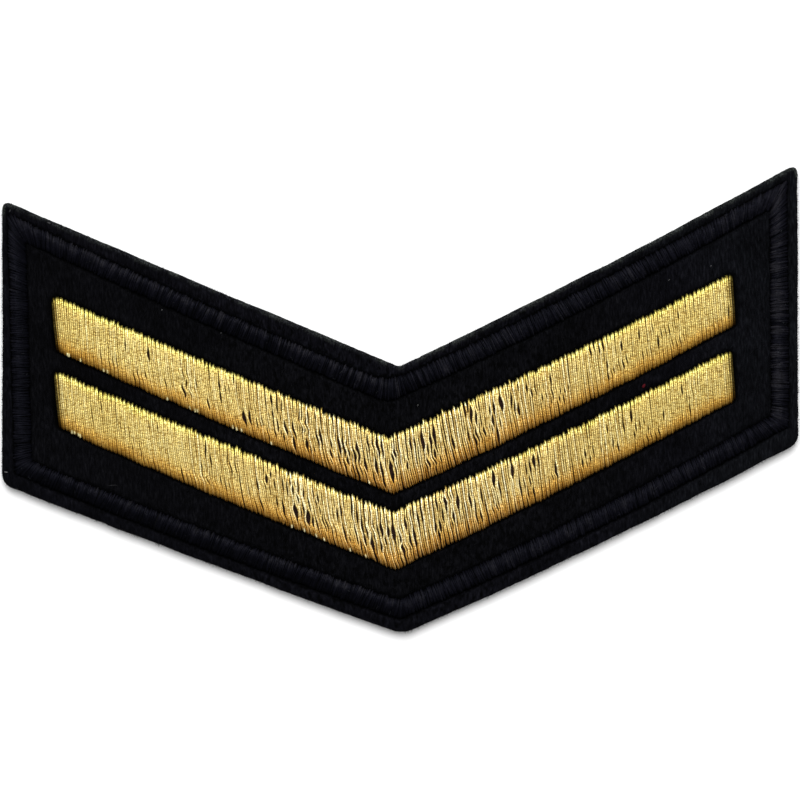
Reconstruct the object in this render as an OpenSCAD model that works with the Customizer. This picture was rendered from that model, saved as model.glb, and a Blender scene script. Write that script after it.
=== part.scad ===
// Two-bar rank chevron patch: a felt ground, hand cut round a satin-stitched border,
// with two satin-stitched bars on it.
// The patch lies flat on its back: X runs across it, Y up it, and Z out of its face.
// The origin is under the middle of its bounding box, on the surface that it rests on.

/* [Stitched shape] */
// Width between the middle lines of the two end borders
stitched_w = 86.2; // [60:0.1:130]
// Height between the border's middle lines at the point
centre_h = 24.8; // [20:0.1:45]
// Height between the border's middle lines at the arms' ends
end_h = 26.5; // [20:0.1:45]
// Angle of the arms from level
arm_angle = 24.4; // [10:0.1:40]
// How far the chevrons' points lie right of the middle, or left if below 0
point_shift = -1.1; // [-5:0.1:5]

/* [Border] */
// Width of the border's band of stitches
border_w = 2; // [1:0.1:3.5]
// How far the border's crest stands above the felt
border_crest = 0.4; // [0.1:0.05:1]

/* [Bars] */
// Height of a bar, straight up the patch as its stitches run
bar_h = 6.25; // [3:0.05:7]
// Bare felt between the two bars, straight up the patch
bar_gap = 2.25; // [1:0.05:4]
// From the middle line of an end border to the bars' ends
bar_end_gap = 4.55; // [2.5:0.05:12]
// How far both bars lie right of the border's middle, or left if below 0
bar_shift = -0.5; // [-1:0.1:1]
// How far the left arms' edges bow down between the point and the end
bar_sag = 0.22; // [0:0.02:0.4]
// How far a bar's crest stands above the felt
bar_crest = 0.5; // [0.1:0.05:1.2]

/* [Felt] */
// Thickness of the felt
felt_t = 1.6; // [1.2:0.1:3]
// Felt left outside the border's stitches
cut_margin = 1.4; // [0.6:0.1:4]
// Rounding of the cut edge on the face
edge_r = 0.35; // [0.1:0.05:0.6]
// How deep the stitches press into the felt
press_d = 0.5; // [0.1:0.05:0.8]
// Width of the furrow beside the stitches
furrow_w = 0.3; // [0.1:0.05:0.8]

/* [Corners] */
// Corner radius of the cut edge at the arms' ends
cut_end_r = 1.3; // [0.5:0.1:3]
// Corner radius of the cut edge at the left end's foot, which is worn rounder than the rest
cut_worn_r = 2.6; // [0.5:0.1:5]
// Corner radius of the cut edge at the point and the notch
cut_point_r = 1.4; // [0.5:0.1:6]
// Corner radius of the border's middle line
border_r = 0.6; // [0.2:0.1:4]
// Corner radius of the bars
bar_r = 0.6; // [0.2:0.1:2]

/* [Hidden] */

// Clearance between a band of stitches and the felt that it is pressed into
stitch_gap = 0.05;
// Heights of the pressed floor under the stitches, and of their foot on it
bed_z = felt_t - press_d;
foot_z = bed_z + stitch_gap;
// Height at which the cutters that open upward end
cutter_top = felt_t + 1;
// Smallest radius that a corner is drawn with
least_r = 0.15;
// Straight pieces in each rounded corner, and points along each long edge between two corners
corner_steps = 4;
edge_points = 5;

// The six corners run round as: left end top, left end foot, point, right end foot,
// right end top, notch. Edge i leaves corner i, so edges 0 and 3 are the arms' ends.
// 1 marks a corner that sticks out, and -1 the notch.
bulge = [1, 1, 1, 1, 1, -1];
is_end = [1, 0, 0, 1, 0, 0];

// How the hand-worked lines wander from the true chevron, one row a corner. Shifts and bows are
// shares of cut_margin for the cut edge and of border_w for the border. A bow belongs to the
// long edge that leaves the corner, and is outward if above 0.
// [cut x, cut y, cut bow, border x, border y, border bow]
wander = [
    [0.85, -0.68, 0.00, 0.15, -0.10, 0.00],
    [0.00, -0.80, 0.14, 0.00, -0.45, 0.17],
    [0.28, 0.00, 0.33, 0.15, 0.00, 0.36],
    [-0.50, 0.15, 0.00, -0.10, 0.45, 0.00],
    [0.25, -0.12, -0.27, 0.25, 0.10, -0.28],
    [0.70, 0.05, -0.03, -0.10, -0.10, -0.11],
];

// The same for the two bars, whose shifts are shares of bar_h and whose bows are shares of bar_sag
// [upper x, upper y, lower x, lower y, bow]
bar_wander = [
    [0.00, 0.00, -0.03, 0.00, 0],
    [0.00, 0.00, -0.015, -0.03, 1],
    [0.05, -0.045, 0.05, -0.045, 1.6],
    [0.03, 0.00, -0.03, 0.00, 0],
    [0.03, -0.055, -0.03, -0.08, -1.3],
    [0.00, -0.015, 0.03, -0.01, -1],
];

// Cross-section of the border, from its outer foot over the crest.
// [across, as a share of half its width; up, as a share of its height]
border_dome = [[1, 0], [0.97, 0.4], [0.75, 0.78], [0.4, 0.96], [0, 1]];

// Cross-section of a bar, from its foot up to the flat of its crest.
// [in from its long edges, as a share of half its width; in from its ends; up]
bar_dome = [
    [0, 0, 0],
    [0, 0, 0.45],
    [0.05, 0.03, 0.7],
    [0.16, 0.07, 0.86],
    [0.4, 0.12, 0.96],
    [0.8, 0.2, 1],
];

// Cross-section of the rounding on the cut edge, as shares of edge_r
// [in from the cut, down from the face]
edge_arc = [[1, 0], [0.5, 0.13], [0.13, 0.5], [0, 1]];

// Corners of a chevron with its point at the height y
function chevron(half_w, x, y, h, top_rise, foot_rise) = [
    [-half_w, y + h + top_rise],
    [-half_w, y + foot_rise],
    [x, y],
    [half_w, y + foot_rise],
    [half_w, y + h + top_rise],
    [x, y + h],
];

// The outward normal of the edge that leaves corner i
function outward(c, i) =
    let (step = c[(i + 1) % len(c)] - c[i])
    [step.y, -step.x] / norm(step);

// The corners with each edge i moved outward by d[i]
function move_edges(c, d) = [
    for (i = [0 : len(c) - 1])
    let (
        before = (i + len(c) - 1) % len(c),
        a = outward(c, before),
        b = outward(c, i),
        cross_ab = a.x * b.y - a.y * b.x
    )
    c[i] + [d[before] * b.y - d[i] * a.y, d[i] * a.x - d[before] * b.x] / cross_ab
];

// One distance for the long edges and one for the arms' ends, as a list over the edges
function by_edge(long, end) = [for (e = is_end) e == 1 ? end : long];

// Length that rounding by the radius r takes from each side of corner i
function corner_reach(c, i, r) =
    let (
        a = outward(c, (i + len(c) - 1) % len(c)),
        b = outward(c, i),
        turn = acos(max(-1, min(1, a * b)))
    )
    r * tan(turn / 2);

// The outline through rounded corners, with its long edges bowed outward by the list bow
function outline(c, r, bow) = [
    for (i = [0 : len(c) - 1])
    let (
        n = len(c),
        next = (i + 1) % n,
        along = (c[next] - c[i]) / norm(c[next] - c[i]),
        back = (c[(i + n - 1) % n] - c[i]) / norm(c[(i + n - 1) % n] - c[i]),
        reach = corner_reach(c, i, r[i]),
        first = c[i] + back * reach,
        last = c[i] + along * reach,
        far = c[next] - along * corner_reach(c, next, r[next])
    )
    each concat(
        [
            for (k = [0 : corner_steps])
            let (t = k / corner_steps)
            first * (1 - t) ^ 2 + c[i] * 2 * t * (1 - t) + last * t ^ 2
        ],
        [
            for (k = [1 : 1 : is_end[i] == 1 ? 0 : edge_points])
            let (t = k / (edge_points + 1))
            last + (far - last) * t + outward(c, i) * bow[i] * 4 * t * (1 - t)
        ]
    )
];

// The radii of the corners after their edges have moved outward by d
function grown(r, d) = [for (i = [0 : len(r) - 1]) max(r[i] + bulge[i] * d, least_r)];

// One ring of a loft: the line's outline moved outward, by "end" at the arms' ends, at height z
function ring(line, long, end, z) =
    let (flat = outline(move_edges(line[0], by_edge(long, end)), grown(line[1], long), line[2]))
    [for (p = flat) [p.x, p.y, z]];

// A line is its corners, its corner radii and its edges' bows.
half_w = stitched_w / 2;
flare = (end_h - centre_h) / 2;
half_rise = half_w * tan(arm_angle);
true_border = chevron(half_w, point_shift, 0, centre_h, half_rise + flare, half_rise - flare);
true_cut = move_edges(true_border, by_edge(border_w / 2 + cut_margin, border_w / 2 + cut_margin));
cut_corners = [for (i = [0 : 5]) true_cut[i] + [wander[i][0], wander[i][1]] * cut_margin];
cut_radii = [cut_end_r, cut_worn_r, cut_point_r, cut_end_r, cut_end_r, cut_point_r];
cut_bow = [for (row = wander) row[2] * cut_margin];

// The middle of the cut shape's box becomes the origin
cut_outline = outline(cut_corners, cut_radii, cut_bow);
cut_x = [for (p = cut_outline) p.x];
cut_y = [for (p = cut_outline) p.y];
middle = [max(cut_x) + min(cut_x), max(cut_y) + min(cut_y)] / 2;
function placed(c) = [for (p = c) p - middle];

cut_line = [placed(cut_corners), cut_radii, cut_bow];
border_line = [
    placed([for (i = [0 : 5]) true_border[i] + [wander[i][3], wander[i][4]] * border_w]),
    [for (i = [0 : 5]) border_r],
    [for (row = wander) row[5] * border_w],
];

// Line of a bar whose point lies y above the border's, with its shifts at the given column of
// bar_wander
function bar_line(y, column) =
    let (
        bar_half_w = half_w - bar_end_gap,
        rise = bar_half_w * tan(arm_angle),
        corners = chevron(bar_half_w, point_shift, y, bar_h, rise, rise)
    )
    [
        placed([
            for (i = [0 : 5])
            corners[i] + [bar_shift, 0] + [bar_wander[i][column], bar_wander[i][column + 1]] * bar_h
        ]),
        [for (i = [0 : 5]) bar_r],
        [for (row = bar_wander) row[4] * bar_sag],
    ];

lower_y = (centre_h - 2 * bar_h - bar_gap) / 2;
lower_line = bar_line(lower_y, 2);
upper_line = bar_line(lower_y + bar_h + bar_gap, 0);

// Faces between two rings of n points, the first starting at point a and the second at point b
function band(n, a, b) = [
    for (j = [0 : n - 1])
    let (k = (j + 1) % n)
    each [[a + j, b + j, b + k], [a + j, b + k, a + k]]
];

// Faces that close a ring of n points from point a, as strips between its two long sides.
// The first strip leaves the left end, between the last point of its top corner and the
// first of its foot.
function lid(n, a) =
    let (
        low = [for (j = [0 : n / 2 - 1]) a + corner_steps + 1 + j],
        high = [for (j = [0 : n / 2 - 1]) a + (corner_steps + n - j) % n]
    )
    [
        for (j = [0 : n / 2 - 2])
        each [[high[j], high[j + 1], low[j + 1]], [high[j], low[j + 1], low[j]]]
    ];

function turned(faces) = [for (f = faces) [f[0], f[2], f[1]]];

// A closed solid through rings stacked from its foot to its top
module stack(rings) {
    n = len(rings[0]);
    last = len(rings) - 1;
    polyhedron(
        points = [for (r = rings) each r],
        faces = concat(
            [for (i = [0 : last - 1]) each band(n, i * n, (i + 1) * n)],
            lid(n, last * n),
            turned(lid(n, 0))
        )
    );
}

// A closed loop through rings that run round its cross-section, from the outer foot upward
module loop(rings) {
    n = len(rings[0]);
    count = len(rings);
    polyhedron(
        points = [for (r = rings) each r],
        faces = [for (i = [0 : count - 1]) each band(n, i * n, (i + 1) % count * n)]
    );
}

// The groove that the border is pressed into, open at the top
module border_bed() {
    floor_w = border_w / 2 + stitch_gap;
    lip_w = floor_w + furrow_w;
    outer = [[floor_w, bed_z], [lip_w, felt_t], [lip_w, cutter_top]];
    inner = [[-lip_w, cutter_top], [-lip_w, felt_t], [-floor_w, bed_z]];
    loop([for (p = concat(outer, inner)) ring(border_line, p[0], p[0], p[1])]);
}

// The hollow that a bar is pressed into, open at the top
module bar_bed(line) {
    lip = stitch_gap + furrow_w;
    stack([for (p = [[stitch_gap, bed_z], [lip, felt_t], [lip, cutter_top]]) ring(line, p[0], p[0], p[1])]);
}

// What the shears and wear take off the face's cut edge
module edge_rounding() {
    arc = [for (p = edge_arc) [-p[0] * edge_r, felt_t - p[1] * edge_r]];
    outside = [[edge_r, felt_t - edge_r], [edge_r, felt_t + edge_r], [-edge_r, felt_t + edge_r]];
    loop([for (p = concat(outside, arc)) ring(cut_line, p[0], p[0], p[1])]);
}

module felt_ground() {
    color([0.05, 0.05, 0.055])
    difference() {
        linear_extrude(felt_t)
            polygon(outline(cut_line[0], cut_line[1], cut_line[2]));
        edge_rounding();
        border_bed();
        bar_bed(upper_line);
        bar_bed(lower_line);
    }
}

module satin_border() {
    h = felt_t + border_crest - foot_z;
    outer = [for (p = border_dome) [p[0] * border_w / 2, foot_z + p[1] * h]];
    inner = [for (i = [len(outer) - 2 : -1 : 0]) [-outer[i][0], outer[i][1]]];
    color([0.1, 0.1, 0.13])
    loop([for (p = concat(outer, inner)) ring(border_line, p[0], p[0], p[1])]);
}

module bar(line) {
    h = felt_t + bar_crest - foot_z;
    half_across = bar_h * cos(arm_angle) / 2;
    color([0.86, 0.66, 0.25])
    stack([
        for (p = bar_dome)
        ring(line, -p[0] * half_across, -p[1] * half_across, foot_z + p[2] * h)
    ]);
}

module upper_bar() {
    bar(upper_line);
}

module lower_bar() {
    bar(lower_line);
}

felt_ground();
satin_border();
upper_bar();
lower_bar();
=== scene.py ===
"""Looks of the two-bar rank chevron patch: napped felt, satin stitches laid thread by thread, and lint.

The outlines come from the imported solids. Sizes are in millimetres until new_piece() turns them into metres.
"""
import math

import bpy
import numpy as np
from mathutils.geometry import delaunay_2d_cdt
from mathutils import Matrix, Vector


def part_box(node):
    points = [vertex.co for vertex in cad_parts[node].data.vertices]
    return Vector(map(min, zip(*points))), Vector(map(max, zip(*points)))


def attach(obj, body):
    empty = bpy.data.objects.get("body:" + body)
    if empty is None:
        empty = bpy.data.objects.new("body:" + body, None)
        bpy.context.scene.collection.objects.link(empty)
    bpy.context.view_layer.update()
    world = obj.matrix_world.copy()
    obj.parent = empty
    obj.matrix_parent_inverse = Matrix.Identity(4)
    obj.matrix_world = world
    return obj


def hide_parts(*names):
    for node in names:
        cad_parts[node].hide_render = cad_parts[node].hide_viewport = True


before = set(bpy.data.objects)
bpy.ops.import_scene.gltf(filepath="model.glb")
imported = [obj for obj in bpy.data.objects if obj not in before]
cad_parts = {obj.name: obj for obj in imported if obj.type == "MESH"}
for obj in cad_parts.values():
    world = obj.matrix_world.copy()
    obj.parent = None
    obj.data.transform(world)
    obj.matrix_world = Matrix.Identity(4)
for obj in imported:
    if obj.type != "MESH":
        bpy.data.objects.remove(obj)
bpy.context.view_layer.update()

MM = 0.001
ACROSS, UP = np.array([1.0, 0, 0]), np.array([0, 0, 1.0])

# The picture: width that it covers at the felt's face, the point in its middle, and how far
# the patch lies turned in it.
FRAME_W = 90.62
FRAME_MIDDLE = (-0.29, 1.055)
PATCH_TURN = math.radians(2.137)
VIEW_HEIGHT = 600


def heights(node):
    """Lowest and highest z of a CAD node."""
    low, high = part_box(node)
    return low.z / MM, high.z / MM


FELT_TOP = heights("felt_ground")[1]
STITCH_FOOT, BORDER_CREST = heights("satin_border")
BAR_CREST = heights("upper_bar")[1]


# Outlines


def outlines_at(node, level):
    """Closed outlines of a CAD node's flat faces at the height level, the longest first."""
    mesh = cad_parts[node].data
    points = np.array([v.co for v in mesh.vertices]) / MM
    places, number = np.unique(points.round(4), axis=0, return_inverse=True)
    number = number.ravel()
    edges = set()
    for face in mesh.polygons:
        corners = [int(number[v]) for v in face.vertices]
        if np.abs(places[corners, 2] - level).max() > 0.001:
            continue
        for a, b in zip(corners, corners[1:] + corners[:1]):
            if (b, a) in edges:
                edges.remove((b, a))
            else:
                edges.add((a, b))
    after = dict(edges)
    loops = []
    while after:
        loop = [min(after)]
        while loop[-1] in after:
            loop.append(after.pop(loop[-1]))
        loops.append(counter_clockwise(places[loop[:-1], :2]))
    return sorted(loops, key=lambda loop: -lengths(loop)[-1])


def counter_clockwise(loop):
    return loop if cross(loop, np.roll(loop, -1, axis=0)).sum() > 0 else loop[::-1]


def cross(a, b):
    return a[..., 0] * b[..., 1] - a[..., 1] * b[..., 0]


def rounded(loop, times):
    """The loop with its corners cut, so many times over."""
    for _ in range(times):
        ahead = np.roll(loop, -1, axis=0)
        loop = np.stack([0.75 * loop + 0.25 * ahead, 0.25 * loop + 0.75 * ahead], 1).reshape(-1, 2)
    return loop


def turns(loop):
    """How many degrees the loop turns at each point, to either side."""
    ahead = np.roll(loop, -1, axis=0) - loop
    angle = np.degrees(np.arctan2(ahead[:, 1], ahead[:, 0]))
    return np.abs((angle - np.roll(angle, 1) + 180) % 360 - 180)


def pointed(loop, least=3, near=2.5):
    """The loop with each rounded corner replaced by the point where its sides would meet.

    A rounded corner is a run of turns of more than least degrees, less than near apart.
    """
    bent = turns(loop) > least
    ahead = np.roll(loop, -1, axis=0) - loop
    start = -int(np.argmin(bent))
    loop, bent, ahead = (np.roll(values, start, axis=0) for values in (loop, bent, ahead))
    goes_on = bent & np.roll(bent, -1) & (np.linalg.norm(ahead, axis=1) < near)
    points = []
    k = 0
    while k < len(loop):
        last = k
        while goes_on[last]:
            last += 1
        side, other = ahead[k - 1], ahead[last]
        share = cross(loop[last] - loop[k], other) / cross(side, other) if last > k else 0
        points.append(loop[k] + share * side)
        k = last + 1
    return np.array(points)


def lengths(line):
    """How far along the line each of its points is."""
    return np.concatenate([[0], np.cumsum(np.linalg.norm(np.diff(line, axis=0), axis=1))])


def on_line(line, at):
    """Points of the line, so far along it."""
    return np.stack([np.interp(at, lengths(line), line[:, k]) for k in (0, 1)], 1)


def spaced(loop, step):
    """The loop as points about a step apart."""
    closed = np.vstack([loop, loop[:1]])
    length = lengths(closed)[-1]
    return on_line(closed, np.linspace(0, length, round(length / step), endpoint=False))


def outward(loop):
    """Unit normals that point out of a counter-clockwise loop, one a point."""
    along = np.roll(loop, -1, axis=0) - np.roll(loop, 1, axis=0)
    return unit(np.stack([along[:, 1], -along[:, 0]], 1))


def unit(vectors):
    return vectors / np.maximum(np.linalg.norm(vectors, axis=-1, keepdims=True), 1e-12)


def inside_by(loop, points):
    """How far inside the loop each point is, below 0 outside it."""
    best = np.full(len(points), np.inf)
    inside = np.zeros(len(points), bool)
    for a, b in zip(loop, np.roll(loop, -1, axis=0)):
        along = b - a
        share = np.clip((points - a) @ along / (along @ along), 0, 1)
        best = np.minimum(best, np.linalg.norm(points - a - share[:, None] * along, axis=1))
        if a[1] != b[1]:
            crossed = (a[1] > points[:, 1]) != (b[1] > points[:, 1])
            inside ^= crossed & (points[:, 0] < a[0] + (points[:, 1] - a[1]) / along[1] * along[0])
    return np.where(inside, best, -best)


def span(loop, x):
    """Lowest and highest y of the loop at each x."""
    low, high = np.full(len(x), np.inf), np.full(len(x), -np.inf)
    for a, b in zip(loop, np.roll(loop, -1, axis=0)):
        if a[0] == b[0]:
            continue
        share = (x - a[0]) / (b[0] - a[0])
        y = a[1] + share * (b[1] - a[1])
        hit = (share >= 0) & (share <= 1)
        low[hit] = np.minimum(low[hit], y[hit])
        high[hit] = np.maximum(high[hit], y[hit])
    return low, high


# Where the notch and the lowest point lie across the patch, and how steeply its arms rise from there
NOTCH_X, ARM_SLOPE = -1.47, 0.48
# How much of each side the cut's corners and its notch take up
CORNER_REACH, NOTCH_REACH = 2.4, 1
# How round the border turns at the notch: on its outer line, on its inner one
NOTCH_ROUNDING = (1.3, 0.65)


def above_arms(points):
    """How far above a V along the arms, with its point at y = 0, each point is."""
    x, y = points.T
    return y - ARM_SLOPE * np.abs(x - NOTCH_X)


def cornered(loop, least=20):
    """The loop with a point on each side of its sharp corners, so that rounded() keeps them tight."""
    points = []
    for before, here, after in zip(np.roll(loop, 1, axis=0), loop, np.roll(loop, -1, axis=0)):
        back, on = unit(before - here), unit(after - here)
        if back @ on > -math.cos(math.radians(least)):
            reach = CORNER_REACH if cross(back, on) < 0 else NOTCH_REACH
            points += [here + reach * back, here, here + reach * on]
        else:
            points.append(here)
    return np.array(points)


def notch_eased(points, rounding):
    """Points of the border with its turn at the notch made round."""
    away = points[:, 0] - NOTCH_X
    at_notch = points[:, 1] > -10
    lift = ARM_SLOPE * (np.hypot(away, rounding) - np.abs(away)) * at_notch
    return points + np.stack([0 * lift, lift], 1)


CUT = rounded(cornered(pointed(outlines_at("felt_ground", 0)[0])), 3)
BORDER_OUTER, BORDER_INNER = map(pointed, outlines_at("satin_border", STITCH_FOOT))
BARS = {node: rounded(outlines_at(node, STITCH_FOOT)[0], 1) for node in ("upper_bar", "lower_bar")}

# How far apart the border's threads lie, and the steps of each, from -1 at its inner end to 1
BORDER_PITCH = 0.18
BORDER_STEPS = np.array([-1, -0.97, -0.86, -0.66, -0.36, 0, 0.36, 0.66, 0.86, 0.97, 1])
# The ridge on each side, from the lowest corner round by the right:
# [where it is highest, also from -1 to 1; how round its top is; shade of its thread, painted light that is
# brighter on the sides the light falls on; share of that shade left at the inner edge; at the outer edge,
# which paints shade on the slopes that face away from the light; how far it lies outside the solid]
RIDGES = [
    (-0.15, 2.2, 0.36, 0.6, 0.6, -0.28),  # lower right
    (-0.25, 1.5, 1, 0.4, 0.25, 0),  # right end
    (0.2, 2.6, 0.32, 0.8, 0.9, 0.15),  # upper right
    (0.6, 1.5, 0.62, 0.2, 0.6, 0),  # upper left
    (0.4, 1.7, 0.22, 0.4, 0.8, 0),  # left end
    (-0.6, 1.6, 0.45, 1, 0.12, 0),  # lower left
]
# How many threads on both sides of a corner these values blend over
RIDGE_BLEND = 14
# How far from a corner the threads fan out: so many times the extra length of the outer line, and more
FAN_TIMES, FAN_MORE = 1.3, 0.3


def sides(loop, least=20):
    """The loop cut at its corners into open lines, the lowest corner first."""
    corners = np.flatnonzero(turns(loop) > least)
    first = corners[np.argmin(loop[corners, 1])]
    loop = np.roll(loop, -first, axis=0)
    corners = sorted((corners - first) % len(loop))
    loop = np.vstack([loop, loop[:1]])
    return [loop[a:b + 1] for a, b in zip(corners, [*corners[1:], len(loop) - 1])]


def border_ends():
    """Inner and outer ends of the border's threads, and the ridge's values at each.

    The threads lie square to the border and fan round its corners.
    """
    ends = []
    for number, (inner, outer) in enumerate(zip(sides(BORDER_INNER), sides(BORDER_OUTER))):
        inner_l, outer_l = lengths(inner)[-1], lengths(outer)[-1]
        # How much longer the outer line is at its start and at its end
        start = float((inner[0] - outer[0]) @ unit(outer[1] - outer[0]))
        end = outer_l - inner_l - start
        at_outer = np.linspace(0, outer_l, 2000)
        start_fan, end_fan = (FAN_TIMES * abs(extra) + FAN_MORE for extra in (start, end))
        at_inner = at_outer - start * (1 - np.exp(-at_outer / start_fan))
        at_inner = at_inner - end * np.exp((at_outer - outer_l) / end_fan)
        spent = np.concatenate([[0], np.cumsum(np.maximum(np.diff(at_outer), np.abs(np.diff(at_inner))))])
        count = round(spent[-1] / BORDER_PITCH)
        at = (np.arange(count) + 0.5) / count * spent[-1]
        inner_end = notch_eased(on_line(inner, np.interp(at, spent, at_inner)), NOTCH_ROUNDING[1])
        outer_end = notch_eased(on_line(outer, np.interp(at, spent, at_outer)), NOTCH_ROUNDING[0])
        ends.append((inner_end, outer_end, np.full(count, number)))
    inner, outer, number = (np.concatenate(values) for values in zip(*ends))
    ridge = [blended(column, RIDGE_BLEND) for column in np.array(RIDGES)[number].T]
    moved = unit(outer - inner) * ridge.pop()[:, None]
    return inner + moved, outer + moved, ridge


def blended(values, reach):
    """Values round a loop, each averaged with so many on both sides of it."""
    kernel = np.hanning(2 * reach + 3)[1:-1]
    around = np.concatenate([values[-reach:], values, values[:reach]])
    return np.convolve(around, kernel / kernel.sum(), "valid")


BORDER_ENDS = border_ends()
BORDER_LINES = [spaced(ends, 0.7) for ends in (BORDER_ENDS[1], BORDER_ENDS[0])]


def noise(x, y, seed):
    """Smooth noise from -1 to 1 whose features are about 1 across."""
    size = 256
    table = np.random.default_rng(seed).uniform(-1, 1, (size, size))
    i, j = np.floor(x).astype(int), np.floor(y).astype(int)
    u, v = ((f * f * (3 - 2 * f)) for f in (x - i, y - j))
    near = table[i % size, j % size] * (1 - u) + table[(i + 1) % size, j % size] * u
    far = table[i % size, (j + 1) % size] * (1 - u) + table[(i + 1) % size, (j + 1) % size] * u
    return near * (1 - v) + far * v


def wave(at, seed):
    """The same noise along a line."""
    return noise(at, 0 * at, seed)


def eased(share):
    """0 to 1 with a soft start and end."""
    share = np.clip(share, 0, 1)
    return share * share * (3 - 2 * share)


# Meshes


def raised(flat, z):
    """Points from their places on the patch and their heights."""
    return np.concatenate([flat, z[..., None]], -1)


def heading(turn):
    """Directions on the patch, turned so far from right."""
    return np.stack([np.cos(turn), np.sin(turn)], 1)


def left_of(way):
    """Directions a quarter turn to the left of others."""
    return way[:, ::-1] * (-1, 1)


def placed(name, data, place=(0, 0, 0), turn=(0, 0, 0)):
    """A new object in the scene, with its place in metres."""
    made = bpy.data.objects.new(name, data)
    made.location = place
    made.rotation_euler = turn
    bpy.context.scene.collection.objects.link(made)
    return made


def strands(spots, way, run, bend=0):
    """Places so far ahead of each spot, one way each, and so far to the left."""
    return spots[:, None] + way[:, None] * run[..., None] + left_of(way)[:, None] * np.expand_dims(bend, -1)


def new_piece(name, points, faces, materials, node=None, maps=None, values=None, numbers=None):
    """A mesh from points in millimetres and arrays of faces, one array for each count of corners.

    maps are the places of the faces' corners on the map for baking, values are numbers for each
    point, by name, and numbers are the faces' material numbers.
    """
    mesh = bpy.data.meshes.new(name)
    mesh.from_pydata((points * MM).tolist(), [], [face for group in faces for face in group.tolist()])
    mesh.shade_smooth()
    if numbers is not None:
        mesh.polygons.foreach_set("material_index", numbers.astype(np.int32))
    mesh.update(calc_edges=True)
    if maps is not None:
        places = np.concatenate([m.reshape(-1, 2) for m in maps]).astype(np.float32)
        mesh.uv_layers.new(name="OFBake").uv.foreach_set("vector", places.ravel())
    for key, value in (values or {}).items():
        mesh.attributes.new(key, "FLOAT", "POINT").data.foreach_set("value", value.astype(np.float32))
    mesh.validate()
    for made in materials:
        mesh.materials.append(made)
    piece = placed(name, mesh)
    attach(piece, "root")
    if node:
        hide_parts(node)
    return piece


class Threads:
    """Threads with pointed ends along many paths: points, faces, and where they lie on the map.

    paths is (threads, steps, 3), and shares says how far along each step is, from 0 to 1. across
    points sideways out of each thread, and half_w and half_h are half its width and height.
    """

    def __init__(self, paths, shares, across, half_w, half_h, sides):
        self.count, self.steps = paths.shape[:2]
        self.sides = sides
        rings = self.steps - 2
        ahead = unit(np.gradient(paths, axis=1))
        side = unit(across - (across * ahead).sum(-1, keepdims=True) * ahead)
        lift = np.cross(side, ahead)
        turn = np.arange(sides) * 2 * math.pi / sides
        wide, high = (np.broadcast_to(h, (self.count, rings))[:, :, None, None] for h in (half_w, half_h))
        middle = paths[:, 1:-1, None] + side[:, 1:-1, None] * np.cos(turn)[:, None] * wide
        middle = middle + lift[:, 1:-1, None] * np.sin(turn)[:, None] * high
        rows = [paths[:, :1], middle.reshape(self.count, rings * sides, 3), paths[:, -1:]]
        self.points = np.concatenate(rows, 1).reshape(-1, 3)

        per = 2 + rings * sides
        s = np.arange(sides)
        after = (s + 1) % sides
        ring = 1 + np.arange(rings)[:, None] * sides
        near, far = ring[:-1], ring[1:]
        quads = np.stack([near + s, far + s, far + after, near + after], -1).reshape(-1, 4)
        first = np.stack([0 * s, 1 + s, 1 + after], -1)
        last = np.stack([ring[-1] + s, 0 * s + per - 1, ring[-1] + after], -1)
        base = np.arange(self.count)[:, None, None] * per
        self.faces = [(base + f).reshape(-1, f.shape[1]) for f in (quads, np.concatenate([first, last]))]

        # Places on the map: how far along, and how far around
        along, v0, v1 = np.array(shares), s / sides, s / sides + 1 / sides
        u0, u1 = along[1:-2, None], along[2:-1, None]
        quad_map = corner_map((u0, v0), (u1, v0), (u1, v1), (u0, v1))
        first_map = corner_map((along[0], (v0 + v1) / 2), (along[1], v0), (along[1], v1))
        last_map = corner_map((along[-2], v0), (along[-1], (v0 + v1) / 2), (along[-2], v1))
        self.maps = [quad_map, np.concatenate([first_map, last_map])]

    def each_point(self, values):
        """Values for each thread, or for each step of each thread, as values for each point."""
        values = np.broadcast_to(values, (self.count, self.steps))
        rings = np.repeat(values[:, 1:-1], self.sides, axis=1)
        return np.concatenate([values[:, :1], rings, values[:, -1:]], 1).ravel()

    def laid_out(self, cells, columns):
        """The map's places, with each thread in a cell of its own."""
        number = np.arange(self.count)[:, None, None]
        return [in_cells(m, number, cells, columns).reshape(-1, m.shape[1], 2) for m in self.maps]


def corner_map(*corners):
    return np.stack([np.stack(np.broadcast_arrays(u, v), -1).reshape(-1, 2) for u, v in corners], 1)


def in_cells(places, number, cells, columns):
    """Places from 0 to 1 moved into the numbered cells of a grid."""
    corner = np.stack([number % columns, number // columns], -1)
    return (corner + 0.06 + 0.88 * places) / (columns, math.ceil(cells / columns))


def stitches(name, node, threads, values, core, materials, columns):
    """A piece of threads laid over a core, both in the node's place."""
    core_points, core_faces = core
    cells = threads.count + 1
    low, high = core_points[:, :2].min(0), core_points[:, :2].max(0)
    flat = (core_points[:, :2] - low) / (high - low)
    core_maps = [in_cells(flat[f], threads.count, cells, columns) for f in core_faces]
    faces = threads.faces + [f + len(threads.points) for f in core_faces]
    numbers = np.repeat([0, 1], [sum(map(len, threads.faces)), sum(map(len, core_faces))])
    blank = np.zeros(len(core_points))
    values = {key: np.concatenate([threads.each_point(value), blank]) for key, value in values.items()}
    points = np.concatenate([threads.points, core_points])
    maps = threads.laid_out(cells, columns) + core_maps
    return new_piece(name, points, faces, materials, node, maps, values, numbers)


def lofted(sections, closed):
    """A solid through closed sections: around a loop, or with flat ends."""
    count, per = sections.shape[:2]
    j = np.arange(per)
    ends = [] if closed else [np.stack([j[::-1], (count - 1) * per + j])]
    return sections.reshape(-1, 3), [between(count, per, closed), *ends]


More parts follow.
